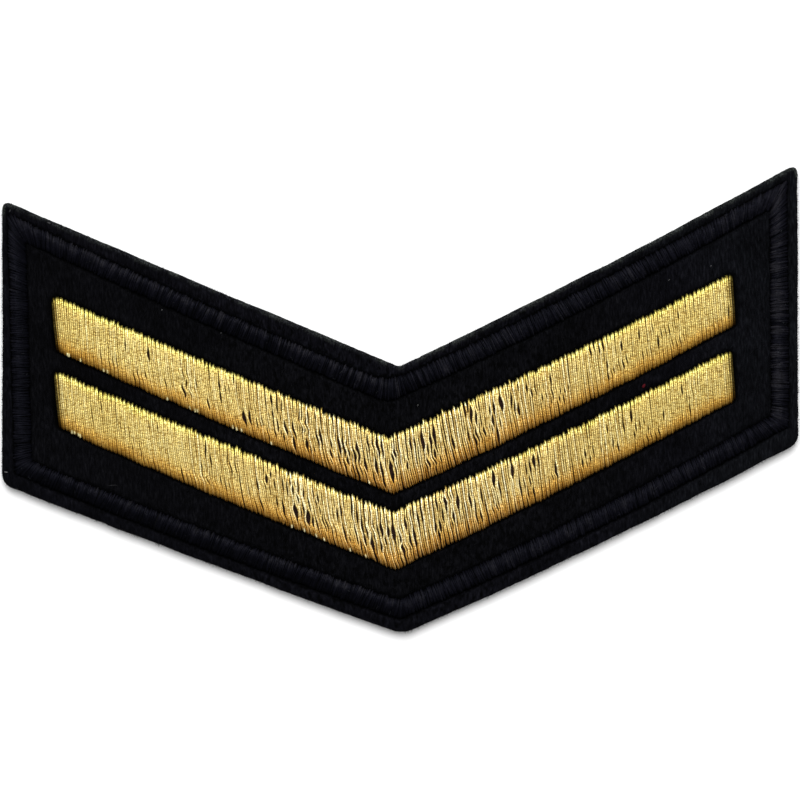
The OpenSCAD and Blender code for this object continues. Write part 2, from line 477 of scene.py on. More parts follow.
def between(count, per, closed):
    """Faces between so many rings of per points each, and from the last to the first if they are closed."""
    here = np.arange(count if closed else count - 1)[:, None] * per
    there = (here + per) % (count * per)
    j = np.arange(per)
    after = (j + 1) % per
    return np.stack([here + j, here + after, there + after, there + j], -1).reshape(-1, 4)


def filled(loop, step, seed):
    """Triangles that fill a loop, with points about a step apart: all the points, and the faces."""
    rng = np.random.default_rng(seed)
    low, high = loop.min(0), loop.max(0)
    x, y = np.meshgrid(np.arange(low[0], high[0], step), np.arange(low[1], high[1], step * math.sqrt(0.75)))
    x[1::2] += step / 2
    grid = np.stack([x.ravel(), y.ravel()], 1)
    grid += rng.uniform(-0.15, 0.15, grid.shape) * step
    grid = grid[inside_by(loop, grid) > 0.6 * step]
    rim = [(k, (k + 1) % len(loop)) for k in range(len(loop))]
    made = delaunay_2d_cdt([tuple(p) for p in np.concatenate([loop, grid])], rim, [], 1, 1e-6)
    return np.array([tuple(v) for v in made[0]]), np.array(made[2])


# Materials


def material(name, **values):
    """A new material, its shader and its node tree, with constants set on the shader's sockets."""
    made = bpy.data.materials.new(name)
    made.use_nodes = True
    tree = made.node_tree
    shader = tree.nodes["Principled BSDF"]
    for key, value in values.items():
        shader.inputs[key.replace("_", " ")].default_value = value
    return made, shader, tree


def add(tree, kind, inputs=(), **settings):
    """A node with its settings, and its inputs by name or number: a value, or a socket to link."""
    node = tree.nodes.new("ShaderNode" + kind)
    for key, value in settings.items():
        setattr(node, key, value)
    for key, value in dict(inputs).items():
        if isinstance(value, bpy.types.NodeSocket):
            tree.links.new(value, node.inputs[key])
        else:
            node.inputs[key].default_value = value
    return node


def grain(tree, size, detail=2, stretch=(1, 1, 1)):
    """Noise whose features are about that many millimetres across."""
    place = add(tree, "TexCoord").outputs["Object"]
    scaled = add(tree, "Mapping", {"Vector": place, "Scale": [s / (size * MM) for s in stretch]})
    return add(tree, "TexNoise", {"Vector": scaled.outputs[0], "Scale": 1, "Detail": detail}).outputs[0]


def ramp(tree, value, *stops):
    """A value, or the attribute of that name, turned into colours by stops of (place, colour)."""
    if isinstance(value, str):
        value = attribute(tree, value)
    node = add(tree, "ValToRGB", {0: value})
    while len(node.color_ramp.elements) < len(stops):
        node.color_ramp.elements.new(0.5)
    for element, (place, colour) in zip(node.color_ramp.elements, stops):
        element.position = place
        element.color = (*colour, 1)
    return node.outputs[0]


def greys(tree, value, *stops):
    """A value turned into greys by stops of (place, grey)."""
    return ramp(tree, value, *((place, grey(shade)) for place, shade in stops))


def grey(value):
    return value, value, value


def times(tree, a, b):
    return add(tree, "Mix", {0: 1, "A": a, "B": b}, data_type="RGBA", blend_type="MULTIPLY").outputs[2]


def mixed(tree, share, a, b):
    """Colour a, with so much of colour b in its place."""
    return add(tree, "Mix", {0: share, "A": a, "B": b}, data_type="RGBA").outputs[2]


def attribute(tree, name):
    return add(tree, "Attribute", attribute_name=name).outputs["Fac"]


def paint(tree, shader, colour):
    tree.links.new(colour, shader.inputs["Base Color"])


def relief(tree, shader, value, depth):
    """Bump of so many millimetres."""
    bump = add(tree, "Bump", {"Height": value, "Distance": depth * MM})
    tree.links.new(bump.outputs[0], shader.inputs["Normal"])


# Colours of the felt, and of the pale fluff painted along its upper edges, a painted lit rim
FELT_DARK, FELT_MID, FELT_PALE = (0.0021, 0.0021, 0.0027), (0.0053, 0.0055, 0.0065), (0.0145, 0.015, 0.0165)
LIT_RIM_FLUFF = (0.04, 0.045, 0.04)
# How bright the felt is where it isn't rubbed into pits
UNPITTED = 0.8


def sheen_tint(tree):
    """Tint of the felt, from deep black amid the bars to a painted bluish sheen at the rim's right end."""
    stops = (0, (0.465, 0.45, 0.52)), (0.4, (0.61, 0.59, 0.76)), (1, (0.84, 0.89, 1))
    return ramp(tree, "sheen_tint", *stops)


def felt_material():
    made, shader, tree = material("felt", Roughness=1, Specular_IOR_Level=0.03)
    streaks = grain(tree, 0.2, 3, (1, 0.22, 1))
    fine = ramp(tree, streaks, (0.34, FELT_DARK), (0.52, FELT_MID), (0.78, FELT_PALE))
    worn = greys(tree, grain(tree, 4, 3), (0.3, 0.5), (0.65, 1))
    blotches = greys(tree, grain(tree, 0.8, 2, (1, 0.4, 1)), (0.3, 0.5), (0.5, 1))
    # Darker in the furrows that the stitches press: painted shade
    hollow = greys(tree, "hollow", (0.2, 1), (0.9, 0.25))
    pits = greys(tree, grain(tree, 0.5, 3, (1, 0.6, 1)), (0.38, 0.2), (0.5, 1))
    pitted = mixed(tree, attribute(tree, "rubbed"), (*grey(UNPITTED), 1), pits)
    colour = times(tree, times(tree, fine, worn), times(tree, blotches, times(tree, hollow, pitted)))
    # Pale fluff painted in tufts along the upper cut edges, a painted lit rim, over the felt's colour with
    # its painted sheen
    tufts = greys(tree, grain(tree, 0.15), (0.4, 0.1), (0.62, 1))
    fluff = times(tree, attribute(tree, "lit_rim_fluff"), tufts)
    paint(tree, shader, mixed(tree, fluff, times(tree, colour, sheen_tint(tree)), (*LIT_RIM_FLUFF, 1)))
    relief(tree, shader, streaks, 0.08)
    return made


def fibre_material():
    made, shader, tree = material("felt_fibre", Roughness=0.9, Specular_IOR_Level=0.05)
    pale = (0.1, 0.11, 0.104)
    stops = (0, FELT_DARK), (0.6, FELT_MID), (0.9, FELT_PALE), (1, pale)
    strand = ramp(tree, "shade", *stops)
    # The fibres take the felt's painted sheen too
    paint(tree, shader, times(tree, strand, sheen_tint(tree)))
    return made


def border_material():
    made, shader, tree = material("border_thread", Roughness=0.5, Specular_IOR_Level=0.04)
    shader.inputs["Specular Tint"].default_value = (0.7, 0.74, 1, 1)
    dark, middling, pale = (0.0006, 0.0006, 0.0012), (0.0041, 0.004, 0.0067), (0.0138, 0.0132, 0.0162)
    strand = ramp(tree, "shade", (0, dark), (0.3, middling), (1, pale))
    twist = grain(tree, 0.16)
    worn = greys(tree, twist, (0.35, 0.5), (0.65, 1))
    matted = greys(tree, grain(tree, 0.55), (0.35, 0.6), (0.6, 1))
    paint(tree, shader, times(tree, strand, times(tree, worn, matted)))
    relief(tree, shader, twist, 0.03)
    return made


# Painted light and shade along a gold thread: orange and darker at its foot, which lies in shade, and yellow
# at its top, where the light catches it:
# [share of the thread's length, tint]
GOLD_ZONES = [
    (0, (0.64, 0.43, 0.22)), (0.07, (0.79, 0.58, 0.32)), (0.15, (0.88, 0.71, 0.48)),
    (0.25, (0.92, 0.86, 0.76)), (0.4, grey(0.94)), (0.72, grey(0.94)),
    (0.8, (1, 1, 0.97)), (0.88, (0.93, 1, 0.85)), (0.96, (0.84, 0.98, 0.7)),
]
# Painted shade on the outermost threads at a bar's ends: tints from none to nearly black
GOLD_END_SHADE = [(0, grey(1)), (0.5, (0.36, 0.33, 0.26)), (1, (0.03, 0.028, 0.02))]


def gold_material():
    made, shader, tree = material("gold_thread", Metallic=1)
    dark, gold, pale = (0.56, 0.39, 0.13), (0.84, 0.67, 0.28), (1, 0.9, 0.58)
    strand = ramp(tree, "shade", (0, dark), (0.5, gold), (1, pale))
    # The foil is worn pale in the middle
    whole, dulled, bare = (0.76, 0.76, 0.62), (0.86, 0.86, 0.79), (0.98, 1, 1)
    worn = ramp(tree, "worn", (0, whole), (0.4, dulled), (1, bare))
    # The foil wound round each thread: fine bands across it, broken up
    foil = grain(tree, 0.17, 3, (0.45, 1, 1))
    bands = ramp(tree, foil, (0.36, (0.5, 0.41, 0.27)), (0.47, (0.86, 0.83, 0.77)), (0.6, grey(1)))
    # The zones' edges wander
    edge = add(tree, "MapRange", {"Value": grain(tree, 2.2, 3), "To Min": -0.1, "To Max": 0.1})
    place = add(tree, "Math", {0: attribute(tree, "share"), 1: edge.outputs[0]}).outputs[0]
    # Painted light and shade along each thread, and painted shade at the bars' ends
    zones = ramp(tree, place, *GOLD_ZONES)
    painted_end_shade = ramp(tree, "painted_end_shade", *GOLD_END_SHADE)
    paint(tree, shader, times(tree, times(tree, strand, bands), times(tree, times(tree, zones, worn), painted_end_shade)))
    shine = {"Value": foil, "From Min": 0.35, "From Max": 0.65, "To Min": 0.55, "To Max": 0.32}
    tree.links.new(add(tree, "MapRange", shine).outputs[0], shader.inputs["Roughness"])
    relief(tree, shader, foil, 0.03)
    return made


def underlay_material(name, dark, pale):
    made, shader, tree = material(name, Roughness=0.9, Specular_IOR_Level=0.05)
    paint(tree, shader, ramp(tree, grain(tree, 0.2), (0.35, dark), (0.7, pale)))
    return made


def lint_material():
    made, shader, tree = material("lint", Roughness=0.9, Specular_IOR_Level=0.1)
    red, dull, pale = (0.075, 0.004, 0.008), (0.02, 0.02, 0.024), (0.16, 0.16, 0.16)
    colour = ramp(tree, "shade", (0, red), (0.2, dull), (1, pale))
    faded = greys(tree, grain(tree, 0.2), (0.3, 0.5), (0.7, 1))
    paint(tree, shader, times(tree, colour, faded))
    return made


# The felt

# How far the stitches press the felt: the depth under them, and the width of the furrow beside them
PRESS_DEPTH, FURROW_W = 0.52, 0.65
# Where the border's stitches press the felt less, and how much less: at its ends, which begin so far
# from the middle, outside its upper sides, and inside its lower ones
LOOSE_FROM, LOOSE_ENDS, LOOSE_BEYOND, LOOSE_WITHIN = 41, 0.7, 0.5, 0.35
# How far from x = 0 the felt's face is roughened by wear, and where the painted sheen toward its right end
# begins
ROUGH_WITHIN, SHEEN_FROM = 27, 20
# How far apart the points are on the face, on the back, which is flat, and along the cut
FELT_STEP, BACK_STEP, EDGE_STEP = 0.21, 0.9, 0.25
# The cut edge from the back up to the face: [in from the cut, height]
EDGE_ROWS = [
    (0.12, 0), (0.03, 0.06), (0, 0.25), (0, 0.5), (0, 0.75), (0, 1), (0.01, 1.22), (0.06, 1.4),
    (0.15, 1.51), (0.27, 1.57), (0.42, 1.6),
]


def pressed(points):
    """How deep the stitches press the felt at each point."""
    beyond, within = -inside_by(BORDER_LINES[0], points), inside_by(BORDER_LINES[1], points)
    # 1 on the border's upper sides, 0 on its lower ones
    upper = eased(0.5 + (above_arms(points) + 11) / 3)
    ends = eased((np.abs(points[:, 0]) - LOOSE_FROM) / 1.5)
    loose = np.where(beyond > within, LOOSE_BEYOND * upper, LOOSE_WITHIN * (1 - upper))
    away = np.maximum(beyond, within)
    loose = np.maximum(loose, LOOSE_ENDS * ends) * eased(away / 0.3 + 0.5)
    depth = (1 - loose) * (1 - eased((away + 0.1) / FURROW_W))
    for loop in BARS.values():
        depth = np.maximum(depth, 1 - eased((0.1 - inside_by(loop, points)) / FURROW_W))
    return PRESS_DEPTH * depth


def sheen_share(points):
    """How much painted sheen the felt gets at each point: most on its rim, and toward its right end."""
    rim = eased(0.5 - inside_by(BORDER_LINES[0], points) / 0.6)
    return np.clip(0.4 * rim + 0.8 * eased((points[:, 0] - SHEEN_FROM) / 22), 0, 1)


def rubbed(x):
    """How much the felt's face is roughened at x: most in the middle."""
    return np.exp(-(x / ROUGH_WITHIN) ** 4)


def lit_rim_fluff(points):
    """How much pale fluff is painted at each point: along the upper cut edges, where the light falls, in
    patches. It is a painted lit rim.
    """
    x, y = points.T
    upper = above_arms(points) > 2
    patches = 0.15 + 0.85 * eased(0.5 + 1.2 * noise(x / 1.1, y / 1.1, 14))
    return upper * patches * eased(1.3 - inside_by(CUT, points) / 0.32)


def face_height(points):
    """Height of the felt's napped face at each point."""
    x, y = points.T
    nap = 0.04 * noise(x / 0.2, y / 0.8, 11) + 0.02 * noise(x / 0.12, y / 0.3, 12)
    swell = 0.05 * noise(x / 3.1, y / 2.7, 13)
    return FELT_TOP - pressed(points) + nap + swell


def felt():
    """The sheet of felt: its rough cut edge, its napped face and its flat back."""
    rim = spaced(CUT, EDGE_STEP)
    normals = outward(rim)
    n = len(rim)
    j = np.arange(n)
    wobble = 0.05 * wave(j / 14, 21) + 0.02 * wave(j / 3, 22)
    upper = eased(2 * normals[:, 1] - 0.4)
    rim = rim + normals * (wobble + 0.03 + 0.1 * upper)[:, None]
    rows = []
    for k, (inset, z) in enumerate(EDGE_ROWS):
        rough = 0.03 * noise(j / 1.5, np.full(n, k * 0.9), 23) * (0 < k < len(EDGE_ROWS) - 1)
        rows.append(raised(rim + normals * (rough - inset)[:, None], np.full(n, z)))
    rows[-1][:, 2] = face_height(rows[-1][:, :2])

    # Both fillings begin with their row's own points, in the same order
    face_points, face_faces = filled(rows[-1][:, :2], FELT_STEP, 31)
    back_points, back_faces = filled(rows[0][:, :2], BACK_STEP, 32)
    walls = np.concatenate(rows)
    face = raised(face_points[n:], face_height(face_points[n:]))
    back = raised(back_points[n:], np.zeros(len(back_points) - n))
    points = np.concatenate([walls, face, back])
    top = len(walls) - n
    face_numbers = np.where(face_faces < n, face_faces + top, face_faces - n + len(walls))
    back_numbers = np.where(back_faces < n, back_faces, back_faces - n + len(walls) + len(face))
    faces = [between(len(rows), n, False), np.concatenate([face_numbers, back_numbers[:, ::-1]])]
    flat = points[:, :2]
    # The felt's painted furrow shade, painted sheen and painted lit rim, and its wear
    values = {
        "hollow": pressed(flat) / PRESS_DEPTH, "sheen_tint": sheen_share(flat), "lit_rim_fluff": lit_rim_fluff(flat),
        "rubbed": rubbed(flat[:, 0]),
    }
    piece = new_piece("felt_ground_cloth", points, faces, [felt_material()], "felt_ground",
                      values=values)


# How many loose fibres there are on the face, at the cut, and on the border
NAP_FIBRES, FUZZ_FIBRES, FLUFF_FIBRES = 13000, 7500, 1500
# Where the four points of a fibre lie from its middle, as shares of its length
FIBRE_RUN = np.array([-0.5, -0.2, 0.2, 0.5])


def fibres(name, paths, thick, shade):
    """A piece of loose fibres along paths of four points each."""
    across = unit(np.cross(paths[:, -1] - paths[:, 0], UP))[:, None]
    hairs = Threads(paths, (0, 0.3, 0.7, 1), across, thick, thick, 3)
    # Each fibre takes the painted sheen of the felt where it lies
    values = {"shade": shade, "sheen_tint": sheen_share(paths[:, 1, :2])}
    values = {key: hairs.each_point(value[:, None]) for key, value in values.items()}
    new_piece(name, hairs.points, hairs.faces, [fibre_material()],
              maps=hairs.laid_out(len(paths), 130), values=values)


def nap():
    """The fibres on the face, which lie mostly up and down the patch."""
    rng = np.random.default_rng(41)
    spots = rng.uniform(CUT.min(0), CUT.max(0), (NAP_FIBRES * 5, 2))
    clear = inside_by(CUT, spots) > 0.1
    for loop in BARS.values():
        clear &= inside_by(loop, spots) < 0
    outer, inner = BORDER_LINES
    clear &= (inside_by(outer, spots) < -0.1) | (inside_by(inner, spots) > 0.1)
    spots = spots[clear][:NAP_FIBRES]
    count = len(spots)
    lean = np.radians(90 + rng.normal(0, 16, count) + 22 * noise(spots[:, 0] / 2, spots[:, 1] / 2, 42))
    way = heading(lean)
    run = rng.uniform(0.35, 1.15, (count, 1)) * FIBRE_RUN
    bend = rng.normal(0, 0.08, (count, 1)) * np.array([0, 1, 1, 0])
    flat = strands(spots, way, run, bend)
    rise = rng.uniform(0, 0.05, (count, 1)) + rng.uniform(0, 0.06, (count, 4)) - np.array([0.04, 0, 0, 0])
    z = face_height(flat.reshape(-1, 2)).reshape(count, 4) + rise
    rough = rubbed(spots[:, 0])
    tuft = 0.75 + (0.25 + 0.3 * rough) * noise(spots[:, 0] / 0.4, spots[:, 1] / 0.8, 43)
    shade = np.clip((0.56 + rng.uniform(-1, 1, count) * (0.3 + 0.16 * rough)) * tuft, 0, 0.9)
    fibres("felt_nap", raised(flat, z), rng.uniform(0.011, 0.022, (count, 1)), shade)


def fuzz():
    """The fibres at the cut, which stick out over it. The upper edges get the most of them and the palest, a
    painted lit rim where the light falls.
    """
    rng = np.random.default_rng(45)
    count = FUZZ_FIBRES
    rim = spaced(CUT, EDGE_STEP)
    upper = eased(2 * outward(rim)[:, 1] - 0.4)
    weight = 0.25 + upper * (0.6 + 0.5 * wave(np.arange(len(rim)) / 9, 46))
    at = rng.choice(len(rim), count, p=weight / weight.sum())
    out = outward(rim)[at]
    way = unit(out + left_of(out) * rng.normal(0, 0.8, (count, 1)))
    high = rng.random(count) < 0.25 + 0.5 * upper[at]
    back = np.where(high, rng.uniform(0.12, 0.4, count), 0.1)
    run = rng.uniform(0.15, 0.4, (count, 1)) * np.array([0, 0.35, 0.7, 1])
    xy = strands(rim[at] - out * back[:, None], way, run)
    foot = np.where(high, FELT_TOP - 0.03, rng.uniform(0.1, FELT_TOP - 0.1, count))
    drop = np.where(high, 1, 0.2)[:, None] * 0.12 * np.array([0, -0.2, 0.2, 1])
    z = foot[:, None] - drop + np.cumsum(rng.normal(0, 0.02, (count, 4)), 1)
    # Fibres on the upper edges are painted palest: a painted highlight on the lit rim
    palest = rng.random(count) < 0.4 * upper[at]
    shade = np.where(palest, rng.uniform(0.9, 1, count), rng.uniform(0.35, 0.88, count))
    fibres("felt_fuzz", raised(xy, z), rng.uniform(0.01, 0.02, (count, 1)), shade)


# The bars

# How far apart the threads lie, half their width, and how much less that is where they are worn
THREAD_PITCH, THREAD_W, WORN_THINNER = 0.225, 0.15, 0.038
# How far the threads lean to the left at their tops: [x, degrees]
LEANS = [(-41, 5), (-37, 3), (-27, 5), (-17, 7), (-8, 8), (0, 8), (10, 7), (25, 4), (36, 2.5), (41, -1)]
# How much more they lean at their feet, from 0, no more, to 1, twice the lean there and none at the top:
# [x, share]
BENDS = [(-41, 0), (-36, 0.9), (-5, 0.9), (8, 0.3), (41, 0)]
# How far in from the solid's ends the outermost threads lie: [left, right]
BAR_ENDS = {"upper_bar": (0.22, 0.26), "lower_bar": (0.36, 0.22)}
BAR_STEPS = np.array([0, 0.006, 0.02, 0.045, 0.08, *np.linspace(0.12, 0.88, 20), 0.92, 0.955, 0.98, 0.994, 1])
# Height of the threads by the distance from the bar's edge, as a share of the whole: [distance, share]
BAR_DOME = [(0, 0.2), (0.08, 0.55), (0.2, 0.78), (0.45, 0.92), (0.9, 0.98), (2.5, 1)]
# Places where the threads have parted: [x, share of the bar's height, length, width of the gap, lean]
SLITS = {
    "upper_bar": [
        (-31.1, 0.68, 1.8, 0.1, 3), (-28.5, 0.7, 1.5, 0.18, 3), (-28.9, 0.28, 1.2, 0.1, 8),
        (-26.8, 0.3, 1.4, 0.1, 14), (-24.6, 0.3, 1.8, 0.2, 14), (-24.1, 0.3, 1.4, 0.14, 14),
        (-21.9, 0.25, 1.5, 0.2, 12), (-20.5, 0.48, 1.5, 0.12, 6), (-17.9, 0.3, 1.6, 0.24, 2),
        (-17.3, 0.34, 1.8, 0.22, 2), (-12.5, 0.2, 1.7, 0.2, 4), (-11, 0.25, 1.7, 0.18, 3),
        (-8.3, 0.3, 1.1, 0.18, 12), (-6.5, 0.29, 1.2, 0.16, 6), (-5.4, 0.6, 1.4, 0.2, 10),
        (-4.4, 0.35, 1.5, 0.16, 10), (-3.2, 0.38, 1.9, 0.26, 8), (-2.7, 0.38, 1.6, 0.2, 8),
        (-1.6, 0.34, 2.4, 0.38, 6), (0.2, 0.38, 1.2, 0.2, 4), (2.2, 0.68, 2.2, 0.28, 12),
        (3.3, 0.7, 2, 0.2, 4), (3.5, 0.36, 1.5, 0.26, 14), (5.5, 0.4, 1.5, 0.16, 12),
        (7.65, 0.74, 2.7, 0.3, 2), (7.5, 0.38, 1.4, 0.14, 10), (8.3, 0.66, 2, 0.2, 2),
        (10.1, 0.45, 1.5, 0.16, 6), (11.1, 0.68, 1.9, 0.34, 14), (12.4, 0.64, 2, 0.18, 4),
        (14.2, 0.72, 1.2, 0.14, 8), (16.8, 0.7, 1.6, 0.12, 10), (23.2, 0.45, 1.6, 0.14, 8),
        (25, 0.68, 1.5, 0.18, 8), (27.1, 0.72, 1.5, 0.14, 4), (29.3, 0.42, 1.6, 0.16, 3),
        (31.5, 0.7, 1.2, 0.12, 6), (37.3, 0.3, 1.8, 0.14, -2),
    ],
    "lower_bar": [
        (-35.1, 0.5, 3.4, 0.1, 8), (-30.5, 0.32, 1.4, 0.12, 8), (-22.9, 0.4, 1.8, 0.14, 10),
        (-22.4, 0.76, 2.4, 0.14, 2), (-15.8, 0.68, 1.3, 0.16, -8), (-15.3, 0.77, 1.1, 0.16, 0),
        (-14.6, 0.36, 1.7, 0.12, 2), (-13.8, 0.33, 1.6, 0.16, 14), (-12.5, 0.32, 1.5, 0.18, 10),
        (-11.1, 0.3, 1.7, 0.24, 6), (-9.4, 0.34, 2.3, 0.24, 14), (-7.8, 0.6, 1.7, 0.16, 6),
        (-7, 0.26, 2.6, 0.18, 10), (-6.3, 0.75, 2.8, 0.12, 2), (-4.7, 0.3, 1.5, 0.2, 4),
        (-4, 0.3, 1.6, 0.2, 6), (-3.1, 0.31, 1.4, 0.16, 4), (-2.1, 0.6, 1.2, 0.2, 8),
        (-1.6, 0.62, 1.8, 0.26, 8), (-0.1, 0.72, 1.8, 0.18, 10), (3.3, 0.38, 1.2, 0.2, 4),
        (3.8, 0.38, 1.6, 0.24, 6), (5.4, 0.44, 1.4, 0.2, 8), (5.9, 0.66, 1.7, 0.26, 4),
        (7.3, 0.58, 2.1, 0.16, 12), (8.5, 0.58, 2.2, 0.12, 8), (10.05, 0.75, 2.1, 0.26, 2),
        (12.2, 0.74, 1.8, 0.26, 2), (14.6, 0.76, 1.7, 0.26, 3), (17.1, 0.42, 1.6, 0.12, 10),
        (20.4, 0.42, 1.6, 0.14, 8), (23, 0.68, 1.5, 0.14, 6), (25.7, 0.7, 1.8, 0.18, 6),
        (29.5, 0.42, 1.6, 0.14, 2), (31.6, 0.7, 1.5, 0.16, 6),
    ],
}
# Rows of small slits besides them, and how far apart the slits of a row are
SLIT_ROWS, SLIT_SPACING = 90, 0.45
# The x of threads that catch the light at their feet, and the share of each that does
GLINTS = {
    "upper_bar": [
        -37.8, -37.5, -36.2, -33.6, -33.3, -26.5, -24, -23.5, -23.1, -19.2, -18.8, -18.4, -15, -4.2,
    ],
    "lower_bar": [-37.5, -37.2, -36.9, -36.6, -13, -11.6, -10.4, -9.3, -6.5, -4.7],
}
GLINT_SHARE = 0.05
# How far from x = 0 the bars are worn
WORN_WITHIN = 17
# Half the threads' height, and how far the underlay lies below their middles
THREAD_H, UNDERLAY_DROP = 0.1, 0.13


def spread(x):
    """How worn the bars are at x: 1 in the middle, where the threads have spread, and 0 far from it."""
    return np.exp(-(x / WORN_WITHIN) ** 2)


def bar_height(away, foot=0.12, crest=0.09):
    """Height of the middles of a bar's threads by their distance from its edge."""
    low, high = STITCH_FOOT + foot, BAR_CREST - crest
    return low + (high - low) * np.interp(away, *zip(*BAR_DOME))


def parted(x, lean, bar_h, slits):
    """Where the threads lie once the slits have opened between them, and how they lean beside them."""
    number = np.arange(len(x))[:, None]
    push = np.zeros_like(x)
    for at, share, length, gap, slit_lean in slits:
        here = x[:, np.abs(BAR_STEPS - share).argmin()]
        k = int(np.clip(np.searchsorted(here, at), 1, len(x) - 1))
        apart = number - k + 0.5
        run = (BAR_STEPS - share) * bar_h
        open_share = np.maximum(1 - np.abs(run / (length / 2)) ** 1.6, 0)
        near = np.exp(0.5 - np.abs(apart))
        # Past the overlap of the threads on its two sides
        overlap = THREAD_W - THREAD_PITCH / 2 - WORN_THINNER * spread(at)
        reach = (0.25 + 0.3 * rubbed(at)) * gap + (0.85 + 0.15 * rubbed(at)) * overlap
        push += np.sign(apart) * reach * near * open_share
        turn = math.tan(math.radians(slit_lean)) - math.tan(lean[k])
        push -= turn * run * np.exp(-(apart / 2.5) ** 2) * open_share
    return x + push


def small_slits(rng, left, right):
    """Rows of small slits, more of them in the middle, where the threads have spread."""
    slits = []
    for _ in range(SLIT_ROWS):
        at = rng.uniform(left + 3, right - 3) if rng.random() < 0.25 else rng.normal(-5, 12)
        share, lean, length = rng.beta(2.4, 3), rng.normal(10, 3), rng.uniform(1.1, 2.2)
        for k in range(rng.integers(1, 5)):
            place = np.clip(at + k * SLIT_SPACING, left + 1, right - 1), share + rng.normal(0, 0.025)
            gap = rng.uniform(0.02, 0.05 + 0.11 * rubbed(at))
            slits.append((*place, length * rng.uniform(0.75, 1.2), gap, lean + rng.normal(0, 1.5)))
    return slits


def bar_underlay(foot, left, right, bar_h):
    """The solid below a bar's threads, in columns from left to right."""
    columns = np.linspace(left, right, 160)
    rows = np.linspace(0.03, 0.97, 15)
    low, high = span(foot, columns)
    y = low[:, None] + (high - low)[:, None] * rows
    x = np.broadcast_to(columns[:, None], y.shape)
    top = np.broadcast_to(bar_height(np.minimum(rows, 1 - rows) * bar_h) - UNDERLAY_DROP, y.shape)
    sections = np.stack([x, y, top], -1)
    under = sections[:, [-1, 0]].copy()
    under[:, :, 2] = STITCH_FOOT
    return lofted(np.concatenate([sections, under], 1)[:, ::-1], False)


def bar(node, seed):
    """A bar's threads, one by one from left to right, and the underlay below them."""
    rng = np.random.default_rng(seed)
    foot = BARS[node]
    left, right = foot[:, 0].min() + BAR_ENDS[node][0], foot[:, 0].max() - BAR_ENDS[node][1]
    count = 2 * round((right - left) / THREAD_PITCH / 2)
    i = np.arange(count)
    middle = np.linspace(left, right, count)
    low, high = span(foot, middle)
    bar_h = float(np.median(high - low))
    end = np.minimum(middle - left, right - middle)
    whole = eased(end / 1.2)
    worn = spread(middle)
    turned = 2 * wave(i / 9, seed + 4) * eased(end / 4)
    lean = np.radians(np.interp(middle, *zip(*LEANS)) + turned)
    stray = rng.normal(0, 1, (2, count)) * (0.012 + 0.014 * worn)
    tilt = np.tan(lean) * bar_h
    top_x = middle - tilt / 2 + stray[0]
    foot_x = middle + tilt / 2 + stray[1]
    inner = foot[:, 0].min() + 0.05, foot[:, 0].max() - 0.05
    low = span(foot, np.clip(foot_x, *inner))[0]
    low = low + rng.normal(-0.07, 0.035, count) + 0.08 * wave(i / 8, seed + 5)
    teeth = rng.normal(0, 0.075, count) * (1 + 0.7 * worn)
    high = span(foot, np.clip(top_x, *inner))[1] + (0.09 + teeth) * whole

    share = np.broadcast_to(BAR_STEPS, (count, len(BAR_STEPS)))
    up, down = (1 - share) * bar_h, share * bar_h
    # Neighbours share the holes that they come out of, by turns above and below
    pull_top = np.where(i % 2, -0.5, 0.5)[:, None] * THREAD_PITCH
    pull_foot = np.where(i % 2, 0.5, -0.5)[:, None] * THREAD_PITCH
    bend = np.interp(middle, *zip(*BENDS)) * tilt
    x = foot_x[:, None] + (top_x - foot_x)[:, None] * share - bend[:, None] * share * (1 - share)
    x = x + pull_top * (0.12 * share + 0.7 * np.exp(-up / 0.22))
    x = x + pull_foot * (0.12 * (1 - share) + 0.3 * np.exp(-down / 0.3))
    wander = 0.05 * noise(i[:, None] * 0.6, share * 2.4, seed + 6)
    wander = wander + 0.035 * noise(i[:, None] * 7.3, share * 6, seed + 1)
    x = x + wander * (0.4 + 0.6 * worn)[:, None]
    x = parted(x, lean, bar_h, [*SLITS[node], *small_slits(rng, left, right)])
    # Painted shade on the outermost threads at the bar's ends
    depth = 0.95 * np.exp(-end / 0.32)[:, None] + 0 * share
    y = low[:, None] + (high - low)[:, None] * share
    z = bar_height(np.minimum(up, down)) + rng.normal(0, 0.022, count)[:, None]
    z = z + 0.03 * noise(i[:, None] * 5.1, share * 7, seed + 2)
    # Where the painted foot shade and top highlight fall along each thread; in the worn middle the foot's
    # painted shade reaches higher
    zone = share - (0.03 + 0.06 * worn)[:, None]
    # Threads whose ends stand up at the foot and catch the light; these ends are also painted palest and kept
    # out of the painted shade, a painted glint
    glinting = [np.abs(foot_x - at).argmin() for at in GLINTS[node]]
    ends = np.ix_(glinting, np.flatnonzero(BAR_STEPS < GLINT_SHARE))
    z[ends] = bar_height(0.35)
    zone[ends] = 0.6
    depth[ends] = 0
    paths = np.stack([x, y, z], -1)

    full = np.interp(BAR_STEPS[1:-1], [0, 0.02, 0.98, 1], [0.6, 1, 1, 0.6])
    width = (THREAD_W - WORN_THINNER * worn + rng.normal(0, 0.007, count))[:, None] * full
    threads = Threads(paths, BAR_STEPS, ACROSS, width, THREAD_H * full, 6)
    # Pale and dark threads lie mixed, not side by side
    tone = rng.normal(0, 1, count)
    tone = tone - 0.3 * (np.roll(tone, 1) + np.roll(tone, -1))
    shade = 0.5 + (0.08 + 0.3 * worn) * tone + 0.08 * wave(middle / 3, seed + 3)
    broken = (0.08 + 0.17 * worn)[:, None] * noise(i[:, None] * 3.3, share * 6, seed + 8)
    shade = np.clip(shade[:, None] + broken, 0, 1)
    # The glinting ends painted palest: a painted highlight
    shade[ends] = 1

    dark = underlay_material(node + "_underlay", (0.004, 0.0015, 0.002), (0.02, 0.009, 0.006))
    values = {"shade": shade, "share": zone, "painted_end_shade": depth, "worn": worn[:, None]}
    core = bar_underlay(foot, left + 0.1, right - 0.1, bar_h)
    stitches(node + "_stitches", node, threads, values, core, [gold_material(), dark], 6)


# The border

